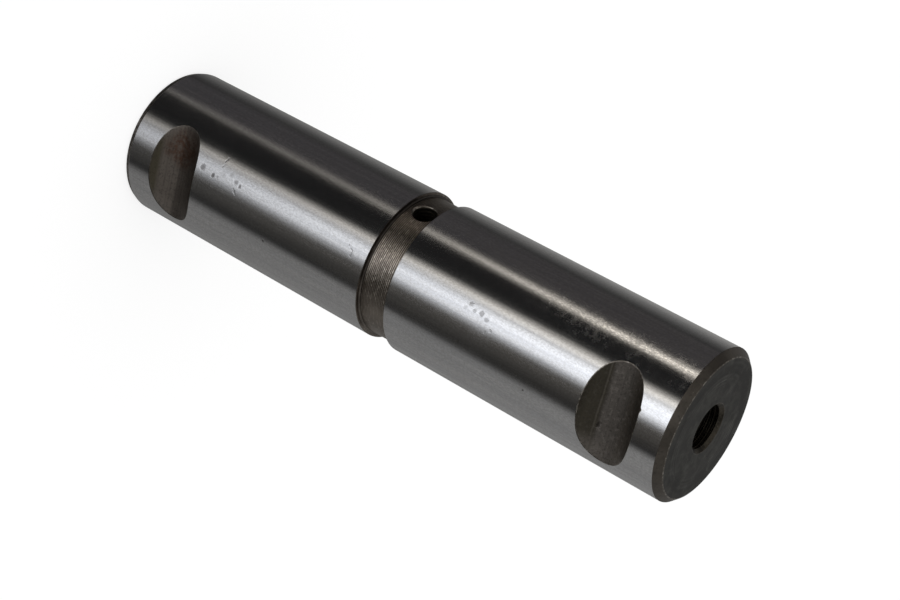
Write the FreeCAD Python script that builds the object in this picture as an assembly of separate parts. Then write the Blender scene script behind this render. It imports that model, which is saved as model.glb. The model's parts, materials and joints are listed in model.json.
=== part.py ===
"""Leaf spring pin: one solid ground steel pin with two bolt notches, a grease groove and a tapped grease gallery.

The pin stands on its plain end. +Z runs along its axis to the tapped end, and both bolt notches face -Y.
The origin is the centre of the plain end face. All lengths are in millimetres and all angles in degrees.
"""

import FreeCAD, Part
import math
import os

from FreeCAD import Vector

# Ground body
pin_diameter = 30.0
pin_length = 128.5
end_chamfer = 1.3  # 45 degree chamfer round the tapped end
lead_length = 1.1  # lead-in taper on the plain end, along the axis
lead_depth = 0.4  # the same taper, measured on the radius
edge_break = 0.12  # sharp rims are stoned off by this much

# Bolt notches, each milled straight across the pin for the shank of a clamp bolt
notch_radius = 6.25
notch_depth = 3.5
notch_end_distance = 12.25  # from each end face to the middle of its notch

# Grease groove, turned round the middle of the pin
groove_width = 6.5
groove_depth = 0.9
groove_corner_radius = 0.4

# Grease outlet, drilled from the groove floor to the gallery
outlet_diameter = 4.5
outlet_angle = 71.0  # from the notches' direction, towards -X
outlet_offset = 0.3  # from the middle of the groove, towards the tapped end

# Grease gallery, drilled along the axis and tapped at its mouth for a 1/8 inch grease nipple
tapped_diameter = 8.57  # crests of the G1/8 thread
tapped_depth = 14.0
mouth_diameter = 9.9  # 90 degree countersink at the end face
gallery_diameter = 5.0
gallery_past_outlet = 1.5  # how far the gallery's full bore runs on below the outlet
drill_point_angle = 118.0

AXIS = Vector(0, 0, 1)
ORIGIN = Vector(0, 0, 0)
TOOL_CLEARANCE = 1.0  # how far a cutting tool stands out past the face that it enters

pin_radius = pin_diameter / 2
middle_z = pin_length / 2
outlet_z = middle_z + outlet_offset
notch_axis_y = -(pin_radius - notch_depth + notch_radius)


def profile_point(radius, z):
    """A point of a turned profile, which is drawn in the XZ plane."""
    return Vector(radius, 0, z)


def line(start, end):
    return Part.LineSegment(start, end).toShape()


def quarter_arc(start, end, centre):
    """The short arc from start to end, which both lie at one distance from centre."""
    radius = (start - centre).Length
    towards_middle = ((start - centre) + (end - centre)).normalize()
    return Part.Arc(start, centre + towards_middle * radius, end).toShape()


def turned(edges):
    """The solid that a closed profile sweeps when it turns once about the pin's axis."""
    face = Part.Face(Part.Wire(edges))
    return face.revolve(ORIGIN, AXIS, 360)


def turned_from_points(points):
    return turned(Part.makePolygon(points + points[:1]).Edges)


def ground_body():
    """The turned blank: lead-in, ground cylinder, grease groove and end chamfer."""
    floor_radius = pin_radius - groove_depth
    lower_wall_z = middle_z - groove_width / 2
    upper_wall_z = middle_z + groove_width / 2
    corner = groove_corner_radius

    plain_end_centre = profile_point(0, 0)
    plain_end_edge = profile_point(pin_radius - lead_depth, 0)
    lead_top = profile_point(pin_radius, lead_length)
    lower_rim = profile_point(pin_radius, lower_wall_z - edge_break)
    lower_wall_top = profile_point(pin_radius - edge_break, lower_wall_z)
    lower_wall_foot = profile_point(floor_radius + corner, lower_wall_z)
    floor_start = profile_point(floor_radius, lower_wall_z + corner)
    floor_end = profile_point(floor_radius, upper_wall_z - corner)
    upper_wall_foot = profile_point(floor_radius + corner, upper_wall_z)
    upper_wall_top = profile_point(pin_radius - edge_break, upper_wall_z)
    upper_rim = profile_point(pin_radius, upper_wall_z + edge_break)
    chamfer_foot = profile_point(pin_radius, pin_length - end_chamfer)
    tapped_end_edge = profile_point(pin_radius - end_chamfer, pin_length)
    tapped_end_centre = profile_point(0, pin_length)

    lower_corner_centre = profile_point(floor_radius + corner, lower_wall_z + corner)
    upper_corner_centre = profile_point(floor_radius + corner, upper_wall_z - corner)

    return turned([
        line(plain_end_centre, plain_end_edge),
        line(plain_end_edge, lead_top),
        line(lead_top, lower_rim),
        line(lower_rim, lower_wall_top),
        line(lower_wall_top, lower_wall_foot),
        quarter_arc(lower_wall_foot, floor_start, lower_corner_centre),
        line(floor_start, floor_end),
        quarter_arc(floor_end, upper_wall_foot, upper_corner_centre),
        line(upper_wall_foot, upper_wall_top),
        line(upper_wall_top, upper_rim),
        line(upper_rim, chamfer_foot),
        line(chamfer_foot, tapped_end_edge),
        line(tapped_end_edge, tapped_end_centre),
        line(tapped_end_centre, plain_end_centre),
    ])


def cone_height(large_diameter, small_diameter=0.0):
    """The length of the cone that the drill's point leaves between two diameters."""
    half_angle = math.radians(drill_point_angle / 2)
    return (large_diameter - small_diameter) / 2 / math.tan(half_angle)


def gallery_tool():
    """Countersink, tapping bore and gallery, as one turned tool that enters at the tapped end."""
    mouth_radius = mouth_diameter / 2
    tapped_radius = tapped_diameter / 2
    gallery_radius = gallery_diameter / 2

    top_z = pin_length + TOOL_CLEARANCE
    countersink_foot_z = pin_length - (mouth_radius - tapped_radius)
    tapped_foot_z = pin_length - tapped_depth
    gallery_top_z = tapped_foot_z - cone_height(tapped_diameter, gallery_diameter)
    gallery_foot_z = outlet_z - outlet_diameter / 2 - gallery_past_outlet
    point_z = gallery_foot_z - cone_height(gallery_diameter)

    return turned_from_points([
        profile_point(0, top_z),
        profile_point(mouth_radius + TOOL_CLEARANCE, top_z),
        profile_point(tapped_radius, countersink_foot_z),
        profile_point(tapped_radius, tapped_foot_z),
        profile_point(gallery_radius, gallery_top_z),
        profile_point(gallery_radius, gallery_foot_z),
        profile_point(0, point_z),
    ])


def outlet_tool():
    """The radial drill that joins the groove floor to the gallery, with a small break at its mouth."""
    angle = math.radians(outlet_angle)
    direction = Vector(-math.sin(angle), -math.cos(angle), 0)
    start = Vector(0, 0, outlet_z)
    outlet_radius = outlet_diameter / 2
    drill = Part.makeCylinder(outlet_radius, pin_radius + TOOL_CLEARANCE, start, direction)

    floor_radius = pin_radius - groove_depth
    sag = floor_radius - math.sqrt(floor_radius**2 - outlet_radius**2)
    break_foot = start + direction * (floor_radius - sag - edge_break)
    break_height = sag + 2 * edge_break
    mouth = Part.makeCone(outlet_radius, outlet_radius + break_height, break_height, break_foot, direction)
    return drill.fuse(mouth)


def notch_tool(z):
    """The straight cutter, along X, whose deepest line lies notch_depth below the ground surface."""
    reach = pin_radius + TOOL_CLEARANCE
    return Part.makeCylinder(notch_radius, 2 * reach, Vector(-reach, notch_axis_y, z), Vector(1, 0, 0))


def notch_rims(body, notch_heights):
    """The edges where a notch meets the ground cylinder."""
    def lies_on(point, z):
        from_axis = math.hypot(point.x, point.y)
        from_cutter = math.hypot(point.y - notch_axis_y, point.z - z)
        return abs(from_axis - pin_radius) < 1e-4 and abs(from_cutter - notch_radius) < 1e-4

    rims = []
    for edge in body.Edges:
        samples = edge.discretize(5)
        if any(all(lies_on(point, z) for point in samples) for z in notch_heights):
            rims.append(edge)
    return rims


def spring_pin():
    notch_heights = (notch_end_distance, pin_length - notch_end_distance)
    body = ground_body()
    for z in notch_heights:
        body = body.cut(notch_tool(z))
    body = body.makeChamfer(edge_break, notch_rims(body, notch_heights))
    body = body.cut(gallery_tool().fuse(outlet_tool()))
    return body.removeSplitter()


os.makedirs("parts", exist_ok=True)
pin = spring_pin()
solid = pin.Solids[0]
solid.exportStep("parts/spring_pin.step")
print(f"spring_pin: {len(pin.Solids)} solid, {solid.Volume:.1f} mm3, valid {solid.isValid()}, "
      f"{len(solid.Faces)} faces, box {solid.BoundBox}")
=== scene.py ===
import json
import math

import bpy
import numpy as np
from mathutils import Matrix, Vector


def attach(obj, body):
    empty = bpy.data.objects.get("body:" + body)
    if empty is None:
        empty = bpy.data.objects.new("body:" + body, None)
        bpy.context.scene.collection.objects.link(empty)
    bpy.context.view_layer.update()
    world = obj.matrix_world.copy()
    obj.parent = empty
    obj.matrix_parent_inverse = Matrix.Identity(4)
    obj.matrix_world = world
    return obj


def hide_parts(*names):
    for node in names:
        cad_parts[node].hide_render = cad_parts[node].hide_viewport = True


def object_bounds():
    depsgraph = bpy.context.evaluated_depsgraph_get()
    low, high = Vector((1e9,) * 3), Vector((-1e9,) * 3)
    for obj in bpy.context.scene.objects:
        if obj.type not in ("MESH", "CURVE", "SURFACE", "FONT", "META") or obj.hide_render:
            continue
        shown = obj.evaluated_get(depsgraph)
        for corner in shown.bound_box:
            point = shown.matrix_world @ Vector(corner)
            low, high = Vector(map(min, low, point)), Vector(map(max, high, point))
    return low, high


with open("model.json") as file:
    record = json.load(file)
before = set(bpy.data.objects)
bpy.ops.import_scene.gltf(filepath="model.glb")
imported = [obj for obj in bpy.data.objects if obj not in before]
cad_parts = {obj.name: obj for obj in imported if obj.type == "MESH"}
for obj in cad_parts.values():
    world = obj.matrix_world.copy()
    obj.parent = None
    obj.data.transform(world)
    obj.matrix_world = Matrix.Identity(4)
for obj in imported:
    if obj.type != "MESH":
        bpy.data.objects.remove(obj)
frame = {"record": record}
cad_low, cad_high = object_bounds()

NODE = "spring_pin"
BODY = "root"
MM = 0.001  # every length in this script is in metres

# Sizes that the frame gives
MOUNTS = {mount["name"]: mount for mount in frame["record"]["mounts"]}
pin_length = cad_high.z
pin_radius = MOUNTS["journal"]["dims"]["r_mm"] * MM
NOTCHES = (MOUNTS["lower_bolt_notch"], MOUNTS["upper_bolt_notch"])
notch_radius = NOTCHES[0]["dims"]["r_mm"] * MM
notch_axis_y = NOTCHES[0]["pos_m"][1]
notch_heights = tuple(mount["pos_m"][2] for mount in NOTCHES)
TAPPED = MOUNTS["nipple_thread"]
crest_radius = TAPPED["dims"]["r_mm"] * MM
tapped_length = TAPPED["dims"]["length_mm"] * MM
mouth_foot = TAPPED["pos_m"][2] + tapped_length / 2
mouth_radius = crest_radius + pin_length - mouth_foot

# Turned details, as in the solid
lead_length = 1.1 * MM
lead_depth = 0.4 * MM
end_chamfer = 1.3 * MM
groove_width = 6.5 * MM
groove_depth = 0.9 * MM
groove_corner = 0.4 * MM
floor_radius = pin_radius - groove_depth
groove_low = (pin_length - groove_width) / 2
groove_high = (pin_length + groove_width) / 2
rim_break = 0.12 * MM
edge_ease = 0.06 * MM  # the finest softening of an edge, which the solid leaves sharp
face_ease = 0.14 * MM  # the same for the worn edge round the tapped end's face

# Drillings
gallery_radius = 2.5 * MM
gallery_foot = 60.8 * MM
drill_point = math.radians(59)
outlet_radius = 2.25 * MM
outlet_azimuth = math.radians(-71)
outlet_height = pin_length / 2 + 0.3 * MM
neck_depth = 13.8 * MM  # from the pin's axis to the foot of the outlet's broken mouth

# Thread of the tapped mouth, a 1/8 inch pipe thread
thread_pitch = 0.907 * MM
thread_depth = 0.58 * MM
thread_rows = 8  # mesh rows in one pitch
thread_fade = 0.5 * MM  # over which the thread starts and ends
thread_margin = 1.5  # pitches of its helix past each end, which are clipped flat

# Mesh density
OUTER_COLUMNS = 288
BORE_COLUMNS = 96
WELD = 1e-7  # points that round to the same multiple of this become one
WELD_SHIFT = 0.137  # keeps round coordinates off the limit between two multiples

# Material zones, in the order of the piece's material slots
GROUND, TURNED, GROOVE, MILLED, BORE, EDGE = range(6)


def on_cylinder(azimuth, radius, z):
    """A point from its azimuth, which is 0 towards -Y and grows towards +X."""
    azimuth, radius, z = np.broadcast_arrays(azimuth, radius, z)
    return np.stack([radius * np.sin(azimuth), -radius * np.cos(azimuth), z], axis=-1)


def outward(azimuth):
    """A unit vector that points away from the pin's axis."""
    return on_cylinder(azimuth, 1.0, 0.0)


def unit(vectors):
    return vectors / np.linalg.norm(vectors, axis=-1, keepdims=True)


class Skin:
    """Collects patches, each with the true normals of its surface, and welds them into one closed mesh."""

    def __init__(self):
        self.points = []
        self.normals = []
        self.faces = []
        self.zones = []
        self.count = 0

    def add(self, points, normals, faces, zone):
        """A patch of faces, each turned to the side that its normals point to."""
        normals = np.broadcast_to(normals, points.shape).reshape(-1, 3)
        points = points.reshape(-1, 3)
        self.points.append(points)
        self.normals.append(normals)
        for face in faces:
            corners = points[list(face)]
            turn = np.zeros(3)
            for first, second in zip(corners[1:-1], corners[2:]):
                turn += np.cross(first - corners[0], second - corners[0])
            ordered = face if turn @ normals[list(face)].sum(axis=0) > 0 else face[::-1]
            self.faces.append([self.count + corner for corner in ordered])
            self.zones.append(zone)
        self.count += len(points)

    def grid(self, points, normals, zone):
        """A patch of rows and columns of points."""
        rows, columns = points.shape[:2]
        faces = []
        for row in range(rows - 1):
            for column in range(columns - 1):
                corner = row * columns + column
                faces.append((corner, corner + 1, corner + columns + 1, corner + columns))
        self.add(points, normals, faces, zone)

    def mesh(self, name):
        """The welded mesh. A face that the weld leaves with fewer than three corners is dropped."""
        points = np.concatenate(self.points)
        normals = np.concatenate(self.normals)
        keys = np.round(points / WELD + WELD_SHIFT).astype(np.int64)
        _, kept, welded = np.unique(keys, axis=0, return_index=True, return_inverse=True)
        welded = welded.ravel()
        faces, zones, corner_normals = [], [], []
        for face, zone in zip(self.faces, self.zones):
            corners, sources = [], []
            for source in face:
                if welded[source] not in corners:
                    corners.append(int(welded[source]))
                    sources.append(source)
            if len(corners) > 2:
                faces.append(corners)
                zones.append(zone)
                corner_normals.extend(normals[sources])
        mesh = bpy.data.meshes.new(name)
        mesh.from_pydata(points[kept].tolist(), [], faces)
        mesh.shade_smooth()
        mesh.polygons.foreach_set("material_index", zones)
        mesh.normals_split_custom_set(unit(np.array(corner_normals)).tolist())
        mesh.update()
        return mesh


class Corner:
    """A corner of a turned profile. Its ease is straight where it has one step, and rounded with more."""

    def __init__(self, radius, z, ease=0.0, steps=1, zone=EDGE):
        self.place = np.array([radius, z])
        self.ease = ease
        self.steps = steps
        self.zone = zone


def profile_normal(start, end):
    """The normal of a profile line whose material lies to the left of it."""
    run = unit(end - start)
    return np.array([run[1], -run[0]])


def eased(before, corner, after):
    """The places and normals along an eased corner."""
    to_corner = unit(corner.place - before.place)
    from_corner = unit(after.place - corner.place)
    first = profile_normal(before.place, corner.place)
    half_turn = math.acos(to_corner @ from_corner) / 2
    rounding = corner.ease / math.tan(half_turn)
    side = np.sign(to_corner[0] * from_corner[1] - to_corner[1] * from_corner[0])
    centre = corner.place - corner.ease * to_corner - side * rounding * first
    places, normals = [], []
    for step in range(corner.steps + 1):
        angle = 2 * half_turn * side * step / corner.steps
        cosine, sine = math.cos(angle), math.sin(angle)
        normal = np.array([[cosine, -sine], [sine, cosine]]) @ first
        normals.append(normal)
        places.append(centre + side * rounding * normal)
    return places, normals


def turn_strip(skin, places, normals, zone, azimuths):
    """Sweeps a run of profile points about the axis."""
    radius, z = np.array(places).T[..., None]
    away, along = np.array(normals).T[..., None]
    skin.grid(on_cylinder(azimuths, radius, z), on_cylinder(azimuths, away, along), zone)


def turned(skin, corners, zones, azimuths):
    """Sweeps a profile. zones has the zone of each side, or None where it is made elsewhere."""
    start = corners[0].place
    for index, zone in enumerate(zones):
        corner = corners[index + 1]
        end = corner.place - corner.ease * unit(corner.place - corners[index].place)
        if zone is not None:
            normal = profile_normal(start, end)
            turn_strip(skin, [start, end], [normal, normal], zone, azimuths)
        start = end
        if corner.ease:
            places, normals = eased(corners[index], corner, corners[index + 2])
            turn_strip(skin, places, normals, corner.zone, azimuths)
            start = places[-1]


def ring_azimuths(columns):
    """The azimuths of a full ring, whose last column repeats its first."""
    return np.arange(columns + 1) * 2 * math.pi / columns


# Search for a hole's edge along a ray, in shares of the hole's half size
RAY_START, RAY_END = 0.3, 1.5
RAY_HALVINGS = 50


def cylinder(skin, azimuth, radius, z, zone, side):
    """A patch of a cylinder: side is 1 where its outside shows and -1 where its inside does."""
    skin.grid(on_cylinder(azimuth, radius, z), side * outward(azimuth), zone)


class Window:
    """A rectangle of azimuth and height on a cylinder, which a hole's outline is joined to."""

    def __init__(self, radius, columns, first, last, heights, centre):
        step = 2 * math.pi / columns
        self.radius = radius
        self.heights = heights
        self.centre = np.array(centre)
        across = np.arange(first, last + 1) * step
        self.rest = np.arange(last, first + columns + 1) * step
        bottom = [(azimuth, heights[0]) for azimuth in across]
        right = [(across[-1], z) for z in heights[1:]]
        top = [(azimuth, heights[-1]) for azimuth in across[-2::-1]]
        left = [(across[0], z) for z in heights[-2::-1]]
        self.border = np.array(bottom + right + top + left)
        self.half = np.array([across[-1] - across[0], heights[-1] - heights[0]]) / 2

    def outline(self, inside, half_size):
        """The hole's edge, found along a ray to each border point. inside is negative within the hole."""
        rays = unit((self.border - self.centre) / self.half) * np.array(half_size)
        low = np.full(len(rays), RAY_START)
        high = np.full(len(rays), RAY_END)
        for _ in range(RAY_HALVINGS):
            middle = (low + high) / 2
            azimuth, z = (self.centre + rays * middle[:, None]).T
            within = inside(azimuth, z) < 0
            low = np.where(within, middle, low)
            high = np.where(within, high, middle)
        return self.centre + rays * low[:, None]

    def fill(self, skin, outline, zone, rings, side=1):
        """The cylinder round the hole."""
        cylinder(skin, self.rest, self.radius, self.heights[:, None], zone, side)
        shares = np.linspace(0, 1, rings + 1)[:, None, None]
        places = self.border + (outline - self.border) * shares
        cylinder(skin, places[..., 0], self.radius, places[..., 1], zone, side)


def plain_band(skin, radius, low, high, rows, columns, zone, side=1):
    """A whole ring of a cylinder."""
    heights = np.linspace(low, high, rows + 1)
    cylinder(skin, ring_azimuths(columns), radius, heights[:, None], zone, side)


def ring_tangent(ring):
    """Unit tangents along a closed ring whose last point repeats its first."""
    step = np.empty_like(ring)
    step[1:-1] = ring[2:] - ring[:-2]
    step[0] = step[-1] = ring[1] - ring[-2]
    return unit(step)


# A chip in the rim of the upper notch
chip_place = on_cylinder(math.radians(-16.3), pin_radius, 121.7 * MM)
chip_reach = 0.3 * MM
chip_depth = 0.4 * MM

# Mesh of the notches and of the bands beside them
NOTCH_COLUMNS = 36  # from the middle of a notch to the side of its window
NOTCH_REACH = 6.6 * MM  # from its middle to the top of its window
NOTCH_ROWS = 28
NOTCH_BORDER_RINGS = 7
NOTCH_RINGS = 22
ring_crowding = 1.15  # draws the rings of a notch towards its rim
END_BAND_ROWS = 2
LONG_BAND_ROWS = 12


def notch(skin, centre_z):
    """One bolt notch with its broken rim, and the ground cylinder round it."""
    heights = np.linspace(centre_z - NOTCH_REACH, centre_z + NOTCH_REACH, NOTCH_ROWS + 1)
    window = Window(pin_radius, OUTER_COLUMNS, -NOTCH_COLUMNS, NOTCH_COLUMNS, heights, (0, centre_z))
    cutter_depth = pin_radius + notch_axis_y  # negative: the cutter's axis lies outside the pin
    half_height = math.sqrt(notch_radius**2 - cutter_depth**2)
    half_azimuth = math.acos((-notch_axis_y - notch_radius) / pin_radius)

    def inside(azimuth, z):
        y = -pin_radius * np.cos(azimuth)
        return (y - notch_axis_y) ** 2 + (z - centre_z) ** 2 - notch_radius**2

    edge = window.outline(inside, (half_azimuth, half_height))
    ring = on_cylinder(edge[:, 0], pin_radius, edge[:, 1])
    tangent = ring_tangent(ring)
    ground_normal = outward(edge[:, 0])
    cutter_axis = np.array([0, notch_axis_y, centre_z])
    notch_normal = unit((cutter_axis - ring) * (0, 1, 1))
    away = np.cross(tangent, ground_normal)
    inwards = np.cross(tangent, notch_normal)
    middle = ring.mean(axis=0)
    away *= np.sign(np.sum(away * (ring - middle), axis=1, keepdims=True))
    inwards *= -np.sign(np.sum(inwards * (ring - middle), axis=1, keepdims=True))

    chip = chip_depth * np.exp(-(np.linalg.norm(ring - chip_place, axis=1) / chip_reach) ** 2)
    outer = ring + (rim_break + chip)[:, None] * away
    outer_edge = np.stack([np.arctan2(outer[:, 0], -outer[:, 1]), outer[:, 2]], axis=1)
    window.fill(skin, outer_edge, GROUND, NOTCH_BORDER_RINGS)
    outer = on_cylinder(outer_edge[:, 0], pin_radius, outer_edge[:, 1])

    inner = ring + rim_break * inwards
    angle = np.arctan2(inner[:, 2] - centre_z, inner[:, 1] - notch_axis_y)
    shares = 1 - np.linspace(0, 1, NOTCH_RINGS + 1)[:, None] ** ring_crowding
    x = inner[:, 0] * shares
    angle = angle * shares
    y = notch_axis_y + notch_radius * np.cos(angle)
    z = centre_z + notch_radius * np.sin(angle)
    surface = np.stack([x, y, z], axis=-1)
    normals = np.stack([0 * x, -np.cos(angle), -np.sin(angle)], axis=-1)
    skin.grid(surface, normals, MILLED)
    skin.grid(np.stack([outer, surface[0]]), np.stack([ground_normal, notch_normal]), EDGE)


def ground_cylinder(skin):
    """The ground surface: bands round the pin, and the two windows that hold the notches."""
    lower_notch, upper_notch = notch_heights
    lead_top = lead_length + edge_ease
    chamfer_foot = pin_length - end_chamfer - edge_ease
    bands = (
        (lead_top, lower_notch - NOTCH_REACH, END_BAND_ROWS),
        (lower_notch + NOTCH_REACH, groove_low - rim_break, LONG_BAND_ROWS),
        (groove_high + rim_break, upper_notch - NOTCH_REACH, LONG_BAND_ROWS),
        (upper_notch + NOTCH_REACH, chamfer_foot, END_BAND_ROWS),
    )
    for low, high, rows in bands:
        plain_band(skin, pin_radius, low, high, rows, OUTER_COLUMNS, GROUND)
    for centre_z in notch_heights:
        notch(skin, centre_z)


# Mesh of the grease outlet and its two windows
FLOOR_ROWS = 26
FLOOR_RINGS = 5
OUTLET_FIRST, OUTLET_LAST = -68, -46  # columns of the window on the groove floor
GALLERY_FIRST, GALLERY_LAST = -39, 1  # columns of the window on the gallery
GALLERY_ROWS = 8
GALLERY_RINGS = 4
GALLERY_REACH = 3.0 * MM
gallery_low = outlet_height - GALLERY_REACH
gallery_high = outlet_height + GALLERY_REACH
OUTLET_ROWS = 90
mouth_widening = 0.25 * MM  # about how much its break widens the outlet's mouth
ridge_pitch = 0.75 * MM  # marks of the drill in the outlet's wall
ridge_height = 0.06 * MM


def outlet(skin):
    """The grease outlet: its window on the groove floor, broken mouth, wall and window on the gallery."""
    centre = (outlet_azimuth, outlet_height)
    direction = outward(outlet_azimuth)
    sideways = outward(outlet_azimuth + math.pi / 2)

    def by_drill(azimuth, radius):
        """How far from the drill's axis a point lies sideways, and how far along it."""
        return radius * np.sin(azimuth - outlet_azimuth), radius * np.cos(azimuth - outlet_azimuth)

    def outside_drill(radius, widening):
        def inside(azimuth, z):
            across, depth = by_drill(azimuth, radius)
            reach = outlet_radius + widening * (depth - neck_depth)
            return across**2 + (z - outlet_height) ** 2 - reach**2
        return inside

    def about_drill(edge, radius):
        across, depth = by_drill(edge[:, 0], radius)
        return np.unwrap(np.arctan2(edge[:, 1] - outlet_height, across)), depth

    floor_heights = np.linspace(groove_low + groove_corner, groove_high - groove_corner, FLOOR_ROWS + 1)
    window = Window(floor_radius, OUTER_COLUMNS, OUTLET_FIRST, OUTLET_LAST, floor_heights, centre)
    mouth_size = outlet_radius + mouth_widening
    mouth = window.outline(outside_drill(floor_radius, 1), (mouth_size / floor_radius, mouth_size))
    window.fill(skin, mouth, GROOVE, FLOOR_RINGS)

    heights = np.linspace(gallery_low, gallery_high, GALLERY_ROWS + 1)
    inner = Window(gallery_radius, BORE_COLUMNS, GALLERY_FIRST, GALLERY_LAST, heights, centre)
    half_turn = math.asin(outlet_radius / gallery_radius)
    crossing = inner.outline(outside_drill(gallery_radius, 0), (half_turn, outlet_radius))
    inner.fill(skin, crossing, BORE, GALLERY_RINGS, side=-1)

    neck_turn, _ = about_drill(mouth, floor_radius)
    inner_turn, inner_depth = about_drill(crossing, gallery_radius)
    axis_point = np.array([0, 0, outlet_height])

    def on_drill(turn, depth):
        ring = np.cos(turn)[..., None] * sideways + np.sin(turn)[..., None] * np.array([0, 0, 1])
        return axis_point + np.asarray(depth)[..., None] * direction + outlet_radius * ring, -ring

    neck, neck_normal = on_drill(neck_turn, neck_depth)
    mouth_points = on_cylinder(mouth[:, 0], floor_radius, mouth[:, 1])
    break_normal = unit(neck_normal + direction)
    skin.grid(np.stack([mouth_points, neck]), break_normal, EDGE)

    shares = np.linspace(0, 1, OUTLET_ROWS + 1)[:, None]
    turn = neck_turn + (inner_turn - neck_turn) * shares
    depth = neck_depth + (inner_depth - neck_depth) * shares
    wall, wall_normal = on_drill(turn, depth)
    ridge_turn = 2 * math.pi * (depth - neck_depth) / ridge_pitch
    ends = np.minimum(shares, 1 - shares) > 0
    ridge = ridge_height * (0.5 - 0.5 * np.cos(ridge_turn)) * ends
    tilt = ridge_height * math.pi / ridge_pitch * np.sin(ridge_turn) * ends
    wall = wall + ridge[..., None] * wall_normal
    skin.grid(wall, wall_normal - tilt[..., None] * direction, BORE)


def thread(skin, top, bottom):
    """The tapped wall. Its mesh is sheared, so that its rows follow the thread's helix."""
    columns = np.arange(BORE_COLUMNS + 1)
    pitches = (top - bottom) / thread_pitch + 2 * thread_margin
    rows = np.arange(int(pitches * thread_rows))[:, None]
    turns = rows / thread_rows + columns / BORE_COLUMNS - thread_margin
    z = np.clip(top - turns * thread_pitch, bottom, top)
    share = rows % thread_rows / thread_rows  # of a pitch: 0 at a crest and 0.5 at a root
    fade = np.clip(np.minimum(top - z, z - bottom) / thread_fade, 0, 1)
    depth = thread_depth * (0.5 - 0.5 * np.cos(2 * math.pi * share)) * fade
    slope = -math.pi * thread_depth / thread_pitch * np.sin(2 * math.pi * share) * fade
    azimuths = ring_azimuths(BORE_COLUMNS)
    skin.grid(on_cylinder(azimuths, crest_radius + depth, z), on_cylinder(azimuths, -1.0, slope), BORE)


face_outer = pin_radius - 2 * end_chamfer
face_inner = mouth_radius + end_chamfer


def stitched_face(skin):
    """The part of the tapped end's face that joins the fine outer mesh to the coarser bore."""
    ratio = OUTER_COLUMNS // BORE_COLUMNS
    outer = on_cylinder(ring_azimuths(OUTER_COLUMNS), face_outer, pin_length)
    inner = on_cylinder(ring_azimuths(BORE_COLUMNS), face_inner, pin_length)
    faces = []
    for column in range(BORE_COLUMNS):
        along_outer = [column * ratio + step for step in range(ratio + 1)]
        along_inner = [len(outer) + column + 1, len(outer) + column]
        faces.append(tuple(along_outer + along_inner))
    skin.add(np.concatenate([outer, inner]), (0.0, 0.0, 1.0), faces, TURNED)


GROOVE_CORNER_STEPS = 5
FACE_EDGE_STEPS = 2


def outside(skin):
    """The turned outside, but for the ground sides and the groove's floor, which have holes."""
    corners = [
        Corner(0, 0),
        Corner(pin_radius - lead_depth, 0, edge_ease),
        Corner(pin_radius, lead_length, edge_ease, zone=GROUND),
        Corner(pin_radius, groove_low, rim_break, zone=GROOVE),
        Corner(floor_radius, groove_low, groove_corner, GROOVE_CORNER_STEPS, GROOVE),
        Corner(floor_radius, groove_high, groove_corner, GROOVE_CORNER_STEPS, GROOVE),
        Corner(pin_radius, groove_high, rim_break, zone=GROOVE),
        Corner(pin_radius, pin_length - end_chamfer, edge_ease, zone=TURNED),
        Corner(pin_radius - end_chamfer, pin_length, face_ease, FACE_EDGE_STEPS),
        Corner(face_outer, pin_length),
    ]
    zones = [TURNED, EDGE, None, GROOVE, None, GROOVE, None, TURNED, TURNED]
    turned(skin, corners, zones, ring_azimuths(OUTER_COLUMNS))


def bore(skin):
    """The countersunk mouth, thread, gallery and drill point. The window of the outlet is made apart."""
    tapped_foot = mouth_foot - tapped_length
    gallery_top = tapped_foot - (crest_radius - gallery_radius) / math.tan(drill_point)
    point_z = gallery_foot - gallery_radius / math.tan(drill_point)
    azimuths = ring_azimuths(BORE_COLUMNS)
    entry = [
        Corner(face_inner, pin_length),
        Corner(mouth_radius, pin_length, edge_ease),
        Corner(crest_radius, mouth_foot),
    ]
    turned(skin, entry, [TURNED, TURNED], azimuths)
    stitched_face(skin)
    thread(skin, mouth_foot, tapped_foot)
    shoulder = [Corner(crest_radius, tapped_foot), Corner(gallery_radius, gallery_top)]
    turned(skin, shoulder, [BORE], azimuths)
    plain_band(skin, gallery_radius, gallery_high, gallery_top, LONG_BAND_ROWS, BORE_COLUMNS, BORE, side=-1)
    plain_band(skin, gallery_radius, gallery_foot, gallery_low, 1, BORE_COLUMNS, BORE, side=-1)
    turned(skin, [Corner(gallery_radius, gallery_foot), Corner(0, point_z)], [BORE], azimuths)


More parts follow.
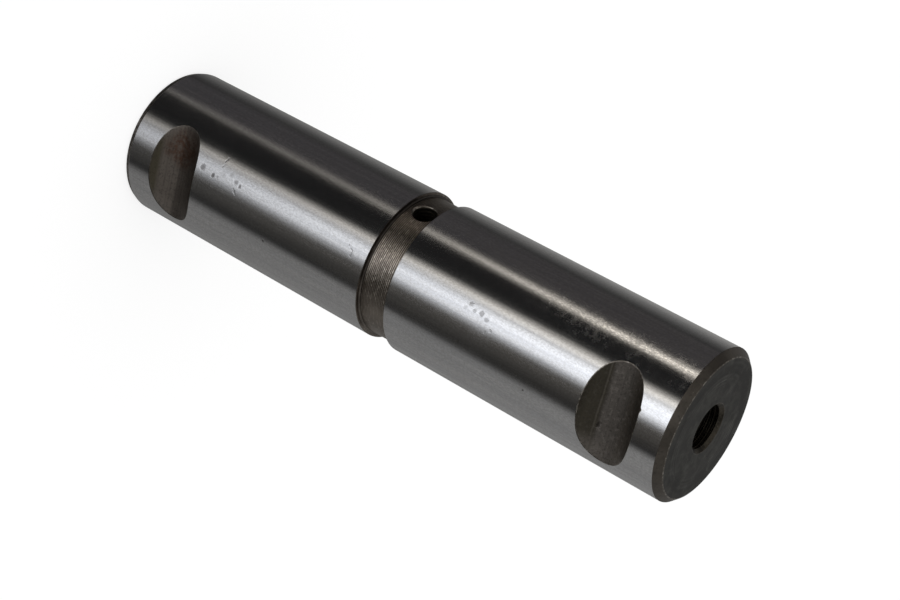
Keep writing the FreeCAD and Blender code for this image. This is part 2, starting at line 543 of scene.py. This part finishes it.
class Graph:
    """Short calls that add shader nodes to a material or world and join them."""

    def __init__(self, owner):
        owner.use_nodes = True
        self.tree = owner.node_tree
        self.tree.nodes.clear()

    def add(self, kind, inputs=(), **settings):
        """A node of a kind whose name is given without its leading ShaderNode."""
        node = self.tree.nodes.new("ShaderNode" + kind)
        for name, value in settings.items():
            setattr(node, name, value)
        for key, value in dict(inputs).items():
            if isinstance(value, bpy.types.NodeSocket):
                self.tree.links.new(value, node.inputs[key])
            else:
                node.inputs[key].default_value = value
        return node

    def finish(self, shader, output="OutputMaterial"):
        self.add(output, {"Surface": shader.outputs[0]})

    def math(self, operation, *values):
        return self.add("Math", enumerate(values), operation=operation).outputs[0]

    def product(self, *values):
        result = values[0]
        for value in values[1:]:
            result = self.math("MULTIPLY", result, value)
        return result

    def linear(self, value, factor, offset):
        return self.math("MULTIPLY_ADD", value, factor, offset)

    def most(self, first, second):
        return self.math("MAXIMUM", first, second)

    def gap(self, value, other):
        return self.math("ABSOLUTE", self.math("SUBTRACT", value, other))

    def vectors(self, operation, first, second):
        return self.add("VectorMath", {0: first, 1: second}, operation=operation).outputs

    def scaled(self, vector, factors):
        return self.vectors("MULTIPLY", vector, factors)[0]

    def sum(self, vector, other):
        return self.vectors("ADD", vector, other)[0]

    def distance(self, vector, middle):
        return self.vectors("DISTANCE", vector, tuple(middle))["Value"]

    def triple(self, value):
        return self.add("CombineXYZ", {0: value, 1: value, 2: value}).outputs[0]

    def step(self, value, low, high, from_value=0.0, to_value=1.0):
        """A smooth step from one value to another as the input goes from low to high."""
        inputs = {0: value, 1: low, 2: high, 3: from_value, 4: to_value}
        return self.add("MapRange", inputs, interpolation_type="SMOOTHSTEP").outputs[0]

    def span(self, value, start, full, fading, end):
        """1 from full to fading, and 0 before start and past end."""
        return self.product(self.step(value, start, full), self.step(value, end, fading))

    def noise(self, vector, scale, detail=3.0, roughness=0.6):
        """Noise of 0 to 1 with so many waves to the vector's unit."""
        inputs = {"Vector": vector, "Scale": scale, "Detail": detail, "Roughness": roughness}
        return self.add("TexNoise", inputs).outputs["Fac"]

    def lines(self, value, scale):
        """Noise that changes with one number only."""
        return self.noise(self.add("CombineXYZ", {0: value}).outputs[0], scale)

    def wander(self, noise, width):
        """A noise of 0 to 1 as an offset to both sides of 0."""
        return self.linear(noise, width, -width / 2)

    def mix(self, share, first, second):
        """A colour between two colours."""
        inputs = {0: share, 6: colour(first), 7: colour(second)}
        return self.add("Mix", inputs, data_type="RGBA").outputs[2]

    def layers(self, base, *coats):
        """A base colour under coats, each given by its share and its colour."""
        for share, coat in coats:
            base = self.mix(share, base, coat)
        return base


def colour(value):
    return (*value, 1.0) if isinstance(value, tuple) and len(value) == 3 else value


class Surface(Graph):
    """A material's graph, with the coordinates of its surface and noise by them."""

    def __init__(self, material):
        super().__init__(material)
        self.point = self.add("TexCoord").outputs["Object"]
        self.x, self.y, self.z = self.add("SeparateXYZ", {0: self.point}).outputs
        self.flat = self.scaled(self.point, (1.0, 1.0, 0.0))
        self.radius = self.distance(self.flat, (0.0, 0.0, 0.0))
        self.azimuth = self.math("ARCTAN2", self.x, self.math("MULTIPLY", self.y, -1.0))
        self.degrees = self.math("DEGREES", self.azimuth)

    def grain(self, scale, detail=4.0, roughness=0.6):
        return self.noise(self.point, scale, detail, roughness)

    def lay(self, across, along, roughness=0.6):
        """Noise with one scale across the pin and another along it."""
        return self.noise(self.scaled(self.point, (across, across, along)), 1.0, 3.0, roughness)


def new_material(name, build):
    """A material whose nodes are added by build."""
    material = bpy.data.materials.new(name)
    build(Surface(material))
    return material


def metal(graph, base, roughness, *bumps, anisotropy=0.0):
    """The metal of every zone. bumps are heights of 0 to 1, each with what it stands for in metres."""
    normal = {}
    for height, depth in bumps:
        bump = graph.add("Bump", {"Height": height, "Distance": depth, "Strength": 1.0, **normal})
        normal = {"Normal": bump.outputs[0]}
    inputs = {"Base Color": base, "Metallic": 1.0, "Roughness": roughness, **normal}
    if anisotropy:
        tangent = graph.add("Tangent", direction_type="RADIAL", axis="Z").outputs[0]
        inputs.update({"Anisotropic": anisotropy, "Anisotropic Rotation": 0.25, "Tangent": tangent})
    graph.finish(graph.add("BsdfPrincipled", inputs))


# Stains and small pits of the ground surface: height, azimuth, radius and darkness
STAINS = (
    (19.2, -18.4, 0.64, 0.68), (22.0, -15.9, 0.42, 0.82), (23.3, -16.8, 0.30, 0.52),
    (27.7, -20.0, 0.52, 0.60), (28.9, -18.5, 0.36, 0.76), (28.1, -13.2, 0.28, 0.45),
    (26.1, -23.5, 0.60, 0.22), (24.1, -20.7, 0.70, 0.14), (84.4, -24.8, 0.45, 0.30),
    (85.5, -21.3, 0.45, 0.38), (87.1, -21.9, 0.55, 0.48), (88.4, -19.4, 0.50, 0.42),
    (90.0, -14.3, 0.28, 0.30), (89.0, -11.4, 0.30, 0.18), (83.6, -20.3, 0.40, 0.20),
    (37.5, 10.0, 0.22, 0.50), (99.5, 12.5, 0.22, 0.50), (57.6, -14.0, 0.55, 0.12),
)
stain_sides = (1.35, 0.5)  # shares of its radius at which a stain begins and is full
stain_wobble = 0.7 * MM

# Fine cracks and scratches of the same surface: height and azimuth of both ends, and darkness
CRACKS = (
    ((23.7, -32.6), (23.4, -28.9), 0.60), ((23.7, -28.1), (23.4, -25.7), 0.50),
    ((84.1, -25.0), (84.9, -25.8), 0.50), ((27.8, -14.6), (28.5, -11.8), 0.60),
    ((56.4, -19.5), (57.6, -16.8), 0.30), ((57.6, -16.8), (57.5, -13.0), 0.35),
)
crack_width = 0.13
crack_dots = 8


def crack_marks():
    """Each crack as a row of small overlapping stains."""
    for start, end, darkness in CRACKS:
        for height, azimuth in np.linspace(start, end, crack_dots):
            yield height, azimuth, crack_width, darkness


def stains(graph):
    """Where the ground surface is stained, from 0 to 1."""
    shift = graph.wander(graph.grain(1500.0, 3.0, 0.5), stain_wobble)
    darkest = 0.0
    for height, azimuth, radius, darkness in (*STAINS, *crack_marks()):
        middle = on_cylinder(math.radians(azimuth), pin_radius, height * MM)
        reach = graph.math("ADD", graph.distance(graph.point, middle), shift)
        sides = [radius * MM * share for share in stain_sides]
        darkest = graph.most(darkest, graph.step(reach, *sides, 0.0, darkness))
    return darkest


# Bands of the ground surface by azimuth: where each starts, is full, fades and ends
FILM_BAND = (-66.0, -58.0, -42.0, -36.0)
GLINT_BAND = (-62.0, -58.0, -50.0, -46.0)
near_tapped_end = (82.0 * MM, 110.0 * MM)  # heights at which the marks of that end begin and are full
smear_middle = on_cylinder(math.radians(-6.0), pin_radius, 88.5 * MM)
smear_sides = (4.0 * MM, 1.0 * MM)  # distances from its middle at which it begins and is full, as below


def film(graph, near_end, cloud):
    """A dull film near the tapped end, and one smear, from 0 to 1."""
    wisps = graph.step(graph.grain(900.0), 0.34, 0.76)
    patches = graph.step(graph.grain(170.0, 2.0, 0.5), 0.32, 0.60)
    wisps = graph.product(wisps, patches, graph.span(graph.degrees, *FILM_BAND), near_end)
    smear = graph.step(graph.distance(graph.point, smear_middle), *smear_sides)
    return graph.most(wisps, graph.product(smear, cloud, 0.5))


def ground_steel(graph):
    """A fine lay round the pin, faint lengthwise rubs, a film near one end, and stains."""
    lay = graph.step(graph.lay(90.0, 2600.0), 0.25, 0.75)
    rubs = graph.step(graph.lay(1300.0, 30.0), 0.28, 0.72)
    grain = graph.lay(3600.0, 1900.0)
    cloud = graph.grain(90.0)
    near_end = graph.step(graph.z, *near_tapped_end)
    glinting = graph.product(graph.span(graph.degrees, *GLINT_BAND), near_end)
    mottle = graph.product(graph.step(grain, 0.64, 0.34), graph.linear(glinting, 0.3, 0.5))
    spots = stains(graph)
    base = graph.layers(
        graph.mix(lay, (0.655, 0.65, 0.65), (0.705, 0.70, 0.695)),
        (graph.linear(rubs, -0.42, 0.42), (0.42, 0.43, 0.455)),
        (mottle, (0.44, 0.43, 0.42)),
        (graph.product(graph.step(grain, 0.52, 0.66, 0.0, 0.6), glinting), (0.95, 0.93, 0.88)),
        (spots, (0.10, 0.092, 0.088)),
    )
    roughness = graph.linear(cloud, 0.05, 0.165)
    roughness = graph.linear(rubs, 0.02, roughness)
    roughness = graph.linear(film(graph, near_end, cloud), 0.16, roughness)
    roughness = graph.linear(spots, 0.20, roughness)
    pits = graph.linear(spots, -1.0, 1.0)
    metal(graph, base, roughness, (lay, 0.0003 * MM), (pits, 0.03 * MM), anisotropy=0.72)


dark_ring_radius = 11.3 * MM
dark_ring_sides = (1.7 * MM, 0.7 * MM)
swirl_middle = (0.5 * MM, -0.3 * MM, 0.0)
swirl_radius = 9.6 * MM
swirl_sides = (2.2 * MM, 0.1 * MM)
swirl_azimuth = -150.0  # where the arcs are clearest


def face_colour(graph, cloud, patches, rings):
    """The tapped end's face: cloudy, with fine tool rings and one darker ring."""
    dark_ring = graph.step(graph.gap(graph.radius, dark_ring_radius), *dark_ring_sides, 0.0, 0.75)
    return graph.layers(
        graph.mix(graph.step(cloud, 0.35, 0.65), (0.047, 0.045, 0.038), (0.067, 0.065, 0.056)),
        (dark_ring, (0.024, 0.022, 0.018)),
        (graph.step(patches, 0.54, 0.40, 0.0, 0.7), (0.026, 0.024, 0.021)),
        (graph.step(patches, 0.52, 0.70, 0.0, 0.5), (0.12, 0.118, 0.105)),
        (graph.step(rings, 0.55, 0.72, 0.0, 0.5), (0.11, 0.108, 0.100)),
    )


def swirl(graph):
    """Lighter broken arcs on the tapped end, a little off its centre, from 0 to 1."""
    reach = graph.distance(graph.flat, swirl_middle)
    lines = graph.step(graph.lines(reach, 1700.0), 0.42, 0.62)
    belt = graph.step(graph.gap(reach, swirl_radius), *swirl_sides)
    broken = graph.step(graph.grain(150.0, 3.0, 0.5), 0.40, 0.60)
    turn = graph.math("SUBTRACT", graph.azimuth, math.radians(swirl_azimuth))
    clear = graph.step(graph.math("COSINE", turn), 0.0, 0.9, 0.30, 1.0)
    return graph.product(lines, graph.linear(belt, 0.8, 0.15), broken, clear)


def turned_steel(graph):
    """The brown-grey turned ends: a face with rings and arcs, a browner chamfer and a dark countersink."""
    rings = graph.lines(graph.math("ADD", graph.radius, graph.z), 5200.0)
    cloud = graph.grain(160.0)
    patches = graph.grain(420.0, 4.0, 0.65)
    speck = graph.grain(1900.0, 3.0)
    on_face = graph.step(graph.z, pin_length - 2 * edge_ease, pin_length - edge_ease)
    off_face = graph.linear(on_face, -1.0, 1.0)
    in_mouth = graph.step(graph.radius, mouth_radius + edge_ease, mouth_radius - edge_ease)
    mouth = graph.mix(graph.step(patches, 0.40, 0.62), (0.034, 0.030, 0.023), (0.092, 0.080, 0.062))
    base = graph.layers(
        graph.mix(graph.step(cloud, 0.35, 0.65), (0.093, 0.082, 0.069), (0.140, 0.124, 0.105)),
        (on_face, face_colour(graph, cloud, patches, rings)),
        (in_mouth, mouth),
        (graph.product(swirl(graph), on_face), (0.22, 0.218, 0.20)),
        (graph.product(graph.step(speck, 0.66, 0.76, 0.0, 0.5), off_face), (0.32, 0.29, 0.25)),
        (graph.step(speck, 0.48, 0.30, 0.0, 0.4), (0.05, 0.046, 0.041)),
    )
    metal(graph, base, graph.linear(cloud, 0.14, 0.40), (rings, 0.006 * MM), (speck, 0.004 * MM))


groove_feed = 0.37 * MM  # from one ring of the turning tool to the next
groove_wobble = 0.10 * MM
shade_reach = 0.18 * MM  # how far the painted shade of the groove's corners spreads over its floor


def groove_shade(graph):
    """Painted shade in the groove's corners and on its walls, from 0 to 1, stronger on some sides of the
    pin.
    """
    wall = groove_width / 2
    corner_top = floor_radius + groove_corner
    from_middle = graph.gap(graph.z, pin_length / 2)
    in_corner = graph.step(from_middle, wall - groove_corner - shade_reach, wall - groove_corner / 2)
    low_down = graph.step(graph.radius, corner_top + shade_reach / 2, corner_top)
    corner_side = graph.step(graph.degrees, 12.0, -8.0, 0.60, 1.0)
    on_wall = graph.step(from_middle, wall - groove_corner / 2, wall - groove_corner / 4)
    wall_start = graph.step(graph.degrees, -88.0, -70.0)
    wall_end = graph.step(graph.degrees, 8.0, -10.0, 0.30, 1.0)
    return graph.most(graph.product(in_corner, low_down, corner_side),
                      graph.product(on_wall, wall_start, wall_end))


def groove_steel(graph):
    """The turned groove: glinting rings of the tool's feed in warm brown-grey, with painted shade in its
    corners, on its walls and to either side of its highlight.
    """
    wobble = graph.product(graph.grain(260.0, 2.0, 0.5), groove_wobble)
    turns = graph.product(graph.math("ADD", graph.z, wobble), 2 * math.pi / groove_feed)
    rings = graph.linear(graph.math("SINE", turns), 0.5, 0.5)
    broken = graph.lay(900.0, 2600.0)
    cloud = graph.grain(240.0)
    clear_side = graph.step(graph.degrees, 18.0, -10.0, 0.40, 1.0)
    # Painted shade: a darker colour to either side of the azimuths where the groove's highlight falls
    shaded_sides = graph.most(graph.step(graph.degrees, 2.0, 16.0), graph.step(graph.degrees, -40.0, -54.0))
    dark = graph.product(graph.step(rings, 0.88, 0.25), graph.step(broken, 0.25, 0.50), clear_side, 0.9)
    glint = graph.product(graph.step(broken, 0.50, 0.68), graph.step(rings, 0.20, 0.60), 0.8)
    base = graph.layers(
        graph.mix(graph.step(cloud, 0.35, 0.65), (0.29, 0.253, 0.215), (0.48, 0.42, 0.36)),
        (dark, (0.035, 0.028, 0.022)),
        (glint, (0.80, 0.72, 0.62)),
        (graph.product(shaded_sides, 0.52), (0.15, 0.128, 0.108)),
        # painted shade in the groove's corners and on its walls
        (graph.product(groove_shade(graph), 0.9), (0.035, 0.031, 0.027)),
    )
    metal(graph, base, graph.linear(broken, 0.12, 0.30), (rings, 0.030 * MM), (broken, 0.008 * MM))


# Marks of the notches. Angles are in degrees round the cutter's axis
lower_crease = -8.0  # where the cutter's two passes meet in the lower notch
lower_lip = -42.0  # beyond which the lower notch is darker
rust_place = (-4.9 * MM, -11.7 * MM, 11.8 * MM)
rust_sides = (5.0 * MM, 1.8 * MM)
rust_wobble = 5.0 * MM
upper_crease = -28.4  # the scribed line in the upper notch
upper_shade = 16.0  # beyond which the upper notch is darker
dent_place = (3.36 * MM, -11.93 * MM, 113.97 * MM)
dent_sides = (0.62 * MM, 0.15 * MM)
dent_wobble = 0.9 * MM
dent_squeeze = 0.55  # by which distances across the pin count, which draws the dent out that way
lighter_ends = (4.5 * MM, 8.0 * MM)  # distances from the middle of a notch at which it gets lighter


def lower_colour(graph, angle, cloud):
    """The lower notch: lighter before its crease, with light red-brown rust over one side."""
    past_crease = graph.step(angle, lower_crease - 1.2, lower_crease + 0.8)
    ends = graph.step(graph.math("ABSOLUTE", graph.x), *lighter_ends, 0.0, 0.35)
    rust = graph.mix(past_crease, (0.142, 0.072, 0.045), (0.096, 0.048, 0.030))
    reach = graph.math("ADD", graph.distance(graph.point, rust_place), graph.wander(cloud, rust_wobble))
    grain = graph.step(graph.grain(1100.0, 4.0, 0.7), 0.38, 0.58, 0.30, 1.0)
    return graph.layers(
        graph.mix(past_crease, (0.215, 0.187, 0.160), (0.150, 0.130, 0.112)),
        (graph.step(angle, lower_lip, lower_lip - 10), (0.12, 0.106, 0.076)),
        (graph.product(ends, graph.linear(past_crease, -0.5, 1.0)), (0.30, 0.265, 0.235)),
        (graph.product(graph.step(reach, *rust_sides), grain, 0.85), rust),
    )


def upper_colour(graph, angle):
    """The upper notch: darkest before the scribed line, and lighter towards one end."""
    past_crease = graph.step(angle, upper_crease + 1, upper_crease + 10)
    return graph.layers(
        graph.mix(past_crease, (0.092, 0.082, 0.062), (0.205, 0.185, 0.165)),
        (graph.step(angle, upper_shade - 9, upper_shade + 12), (0.185, 0.162, 0.138)),
        (graph.step(graph.gap(angle, upper_crease), 2.2, 0.6, 0.0, 0.5), (0.24, 0.215, 0.18)),
        (graph.step(graph.x, *lighter_ends, 0.0, 0.6), (0.30, 0.27, 0.24)),
    )


def dent(graph, speck):
    """The ragged dent in the upper notch, from 0 to 1."""
    squeezed = graph.scaled(graph.point, (dent_squeeze, 1.0, 1.0))
    middle = (dent_squeeze * dent_place[0], *dent_place[1:])
    reach = graph.math("ADD", graph.distance(squeezed, middle), graph.wander(speck, dent_wobble))
    return graph.step(reach, *dent_sides)


def milled_steel(graph):
    """The milled notches: streaks along the cut, speckle, painted glints, creases, a dent and light rust.
    """
    lower_z, upper_z = notch_heights
    is_upper = graph.math("GREATER_THAN", graph.z, pin_length / 2)
    from_middle = graph.math("SUBTRACT", graph.z, graph.linear(is_upper, upper_z - lower_z, lower_z))
    from_axis = graph.math("SUBTRACT", graph.y, notch_axis_y)
    cloud = graph.grain(260.0)
    angle = graph.math("DEGREES", graph.math("ARCTAN2", from_middle, from_axis))
    angle = graph.math("ADD", angle, graph.wander(cloud, 3.0))
    streak = graph.lay(70.0, 3000.0, 0.65)
    speck = graph.grain(2100.0, 4.0, 0.7)
    hollow = dent(graph, speck)
    # Lighter speckle as painted glints, fewest before the upper notch's scribed line and fainter in the
    # lower notch
    bright = graph.step(graph.grain(1500.0, 3.0, 0.7), 0.52, 0.66, 0.0, 0.42)
    glint_side = graph.step(angle, upper_crease, upper_crease + 12, 0.25, 1.0)
    base = graph.layers(
        graph.mix(is_upper, lower_colour(graph, angle, cloud), upper_colour(graph, angle)),
        (graph.step(streak, 0.56, 0.30, 0.0, 0.24), (0.055, 0.049, 0.044)),
        (graph.step(speck, 0.50, 0.34, 0.0, 0.42), (0.05, 0.045, 0.040)),
        (graph.product(bright, glint_side, graph.linear(is_upper, 0.65, 0.2)), (0.42, 0.385, 0.345)),
        (graph.product(hollow, 0.7), (0.03, 0.026, 0.022)),
    )
    relief = ((streak, 0.005 * MM), (speck, 0.006 * MM), (graph.linear(hollow, -1.0, 1.0), 0.06 * MM))
    metal(graph, base, graph.linear(cloud, 0.16, 0.38), *relief)


greasy_from = 0.8 * pin_length  # height above which the bore is greasy


def bore_steel(graph):
    """Drilled and tapped walls: dark brown-grey, and darker still in the greasy thread."""
    cloud = graph.grain(500.0)
    speck = graph.grain(3000.0, 3.0)
    greasy = graph.math("GREATER_THAN", graph.z, greasy_from)
    base = graph.layers(
        graph.mix(cloud, (0.030, 0.026, 0.021), (0.080, 0.068, 0.052)),
        (graph.step(speck, 0.60, 0.75, 0.0, 0.4), (0.17, 0.15, 0.115)),
        (graph.product(greasy, 0.5), (0.008, 0.007, 0.006)),
    )
    metal(graph, base, graph.linear(cloud, 0.15, 0.40), (speck, 0.008 * MM))


def edge_steel(graph):
    """Broken and worn rims: a broken bright line, darker at the mouth and the lower notch."""
    wear = graph.grain(1300.0, 3.0, 0.65)
    at_mouth = graph.math("LESS_THAN", graph.radius, pin_radius / 2)
    at_lower_notch = graph.math("COMPARE", graph.z, notch_heights[0], NOTCH_REACH)
    base = graph.layers(
        graph.mix(graph.step(wear, 0.44, 0.68), (0.13, 0.116, 0.098), (0.38, 0.35, 0.31)),
        (graph.product(graph.most(at_mouth, at_lower_notch), 0.65), (0.075, 0.067, 0.056)),
    )
    metal(graph, base, graph.linear(wear, 0.15, 0.34), (wear, 0.01 * MM))


# In the order of the zones
ZONE_MATERIALS = (ground_steel, turned_steel, groove_steel, milled_steel, bore_steel, edge_steel)


def in_scene(name, data):
    """An object of the scene that shows data."""
    thing = bpy.data.objects.new(name, data)
    bpy.context.scene.collection.objects.link(thing)
    return thing


def pin_surface():
    """The whole pin as one closed mesh, which stands for the plain solid."""
    skin = Skin()
    outside(skin)
    ground_cylinder(skin)
    outlet(skin)
    bore(skin)
    mesh = skin.mesh("pin_surface")
    for build in ZONE_MATERIALS:
        mesh.materials.append(new_material(build.__name__, build))
    piece = in_scene("pin_surface", mesh)
    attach(piece, BODY)
    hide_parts(NODE)


# The studio: the pin is the middle of it. Azimuths are in degrees, as on the pin
tent_radius = 0.6
tent_low = -1.2
tent_high = 1.2
tent_columns = 96
far_height = -0.54  # on the tent, where the camera sees the plain end mirror it
near_height = -0.03  # the same for the tapped end

# Cards hung in the tent: middle at the far height, lean towards the near height, half width and softness
# of the sides, then their light at both heights
CARDS = {
    "softbox": (-14.0, 0.0, 11.8, 11.5, (0.425, 0.437, 0.46), (1.98, 2.04, 2.15)),
    "softbox_side": (-32.8, 0.0, 2.6, 9.6, (0.41, 0.39, 0.36), (2.02, 1.93, 1.78)),
    "warm_strip": (-91.5, 10.5, 3.4, 5.0, (0.12, 0.115, 0.105), (0.12, 0.115, 0.105)),
    "charcoal_card": (-113.5, 0.0, 23.5, 3.6, (0.047, 0.044, 0.047), (0.050, 0.0455, 0.0460)),
    "grey_wall": (86.8, 0.0, 40.7, 6.4, (0.205, 0.203, 0.20), (0.265, 0.264, 0.262)),
    "bright_corner": (143.0, 0.0, 8.9, 16.0, (0.24, 0.24, 0.237), (0.27, 0.27, 0.267)),
    "back_wall": (172.0, 0.0, 29.0, 30.0, (0.175, 0.172, 0.168), (0.325, 0.32, 0.312)),
    "low_wall": (7.0, 0.0, 17.4, 27.0, (0.074, 0.071, 0.066), (0.102, 0.094, 0.083)),
}
# Dark seams of the softbox: middle, half width, softness and the share of the light that they take
SEAMS = ((-27.0, 1.0, 1.6, 0.38), (-12.2, 0.9, 1.4, 0.32))
warm_lamp = (2.35, 2.19, 1.96)  # light added to the warm strip near the top of its height
warm_lamp_power = 4.0  # how suddenly it rises there
room_light = (0.015, 0.015, 0.0152)
ceiling_light = 0.34
ceiling_side = (153.0, 62.0, 25.0)  # where it hangs lowest, behind the pin: middle, half width and softness
ceiling_low = (0.05, 0.20)  # heights between which it begins on that side
ceiling_high = (0.50, 0.75)  # the same all round
cloth_folds = 0.10  # how far the folds of the cards' cloth change their light


def beside(graph, middle, half_width, softness):
    """1 within half_width of a middle azimuth, and 0 past a soft side."""
    turn = graph.math("WRAP", graph.math("SUBTRACT", graph.degrees, middle), 180.0, -180.0)
    return graph.step(graph.math("ABSOLUTE", turn), half_width + softness, half_width - softness)


def tent_light(graph):
    """Light of the tent by azimuth and height, card by card."""
    height = graph.step(graph.z, far_height, near_height)
    total = room_light
    for name, (middle, lean, half_width, softness, far_light, near_light) in CARDS.items():
        share = beside(graph, graph.linear(height, lean, middle), half_width, softness)
        card = graph.mix(height, far_light, near_light)
        if name == "warm_strip":
            rise = graph.math("POWER", height, warm_lamp_power)
            card = graph.sum(card, graph.scaled(warm_lamp, graph.triple(rise)))
        total = graph.sum(total, graph.scaled(card, graph.triple(share)))

    fold = graph.noise(graph.triple(graph.degrees), 0.3, 2.0, 0.6)
    strength = graph.step(fold, 0.25, 0.75, 1 - cloth_folds, 1 + cloth_folds)
    for *seam, depth in SEAMS:
        strength = graph.product(strength, graph.linear(beside(graph, *seam), -depth, 1.0))
    low_side = graph.product(beside(graph, *ceiling_side), graph.step(graph.z, *ceiling_low))
    ceiling = graph.most(low_side, graph.step(graph.z, *ceiling_high))
    light = graph.mix(ceiling, total, (ceiling_light,) * 3)
    graph.finish(graph.add("Emission", {"Color": light, "Strength": strength}))


def stage_object(name, points, faces, material):
    mesh = bpy.data.meshes.new(name)
    mesh.from_pydata(points, [], faces)
    mesh.materials.append(material)
    thing = in_scene(name, mesh)
    return thing


def tent():
    """A closed tent of cards round the pin, which only reflections see."""
    azimuths = ring_azimuths(tent_columns)[:-1]
    low = on_cylinder(azimuths, tent_radius, tent_low)
    high = on_cylinder(azimuths, tent_radius, tent_high)
    points = np.concatenate([low, high]).tolist()
    faces = []
    for column in range(tent_columns):
        after = (column + 1) % tent_columns
        faces.append((column, after, after + tent_columns, column + tent_columns))
    faces.append(tuple(range(tent_columns)))
    faces.append(tuple(range(tent_columns, 2 * tent_columns)))
    material = new_material("tent", tent_light)
    material.cycles.emission_sampling = "FRONT_BACK"
    thing = stage_object("light_tent", points, faces, material)
    for ray in ("camera", "diffuse", "shadow", "transmission", "volume_scatter"):
        setattr(thing, "visible_" + ray, False)


WHITE = (1.0, 1.0, 1.0, 1.0)
floor_reach = 4.0
floor_colour = (0.3, 0.3, 0.3, 1.0)
floor_glow = 0.75  # the floor's own white, which is seen on top of the light that falls on it
soft_world = 0.5  # light of the world on what isn't polished


def seen_sharply(graph):
    """1 for what the camera, metal or glass sees, and 0 for light on dull surfaces."""
    path = graph.add("LightPath").outputs
    seen = graph.most(path["Is Camera Ray"], path["Is Glossy Ray"])
    return graph.most(seen, path["Is Transmission Ray"])


def floor():
    """A pale floor that keeps the pin's shadow. Reflections see the tent in its place."""
    material = bpy.data.materials.new("pale_floor")
    graph = Graph(material)
    diffuse = graph.add("BsdfDiffuse", {"Color": floor_colour}).outputs[0]
    glow = graph.add("Emission", {"Color": WHITE, "Strength": floor_glow}).outputs[0]
    both = graph.add("AddShader", {0: diffuse, 1: glow}).outputs[0]
    graph.finish(graph.add("MixShader", {0: seen_sharply(graph), 1: diffuse, 2: both}))
    material.cycles.emission_sampling = "NONE"
    corners = ((-1, -1), (1, -1), (1, 1), (-1, 1))
    points = [(x * floor_reach, y * floor_reach, 0) for x, y in corners]
    thing = stage_object("floor", points, [(0, 1, 2, 3)], material)
    thing.visible_glossy = False


def white_world():
    """White where the camera, glass or metal sees it, and soft grey light elsewhere."""
    world = bpy.data.worlds.new("studio")
    bpy.context.scene.world = world
    world.cycles.sampling_method = "NONE"
    graph = Graph(world)
    white = graph.add("Background", {"Color": WHITE, "Strength": 1.0}).outputs[0]
    soft = graph.add("Background", {"Color": WHITE, "Strength": soft_world}).outputs[0]
    chosen = graph.add("MixShader", {0: seen_sharply(graph), 1: soft, 2: white})
    graph.finish(chosen, "OutputWorld")


sun_strength = 1.3
sun_softness = 60.0
sun_tilt = (12.0, -10.0, 0.0)


def overhead_sun():
    lamp = bpy.data.lights.new("overhead", "SUN")
    lamp.energy = sun_strength
    lamp.angle = math.radians(sun_softness)
    thing = in_scene("overhead", lamp)
    thing.rotation_euler = [math.radians(turn) for turn in sun_tilt]
    thing.visible_glossy = False


# Camera, at the photograph's angle on the pin, which lies at a slant there: hence the roll
camera_azimuth = -27.113
camera_elevation = 28.017
camera_roll = 118.702
camera_distance = 0.3615
camera_aim = (3.243 * MM, 2.093 * MM, 70.510 * MM)
camera_lens = 77.053


def camera():
    azimuth = math.radians(camera_azimuth)
    elevation = math.radians(camera_elevation)
    back = Vector(on_cylinder(azimuth, math.cos(elevation), math.sin(elevation)))
    data = bpy.data.cameras.new("camera")
    data.lens = camera_lens
    thing = in_scene("camera", data)
    upright = (-back).to_track_quat("-Z", "Y").to_matrix()
    roll = Matrix.Rotation(math.radians(camera_roll), 3, "Z")
    place = Matrix.Translation(Vector(camera_aim) + back * camera_distance)
    thing.matrix_world = place @ (upright @ roll).to_4x4()
    bpy.context.scene.camera = thing


bpy.context.scene.view_settings.view_transform = "Standard"
pin_surface()
tent()
floor()
white_world()
overhead_sun()
camera()
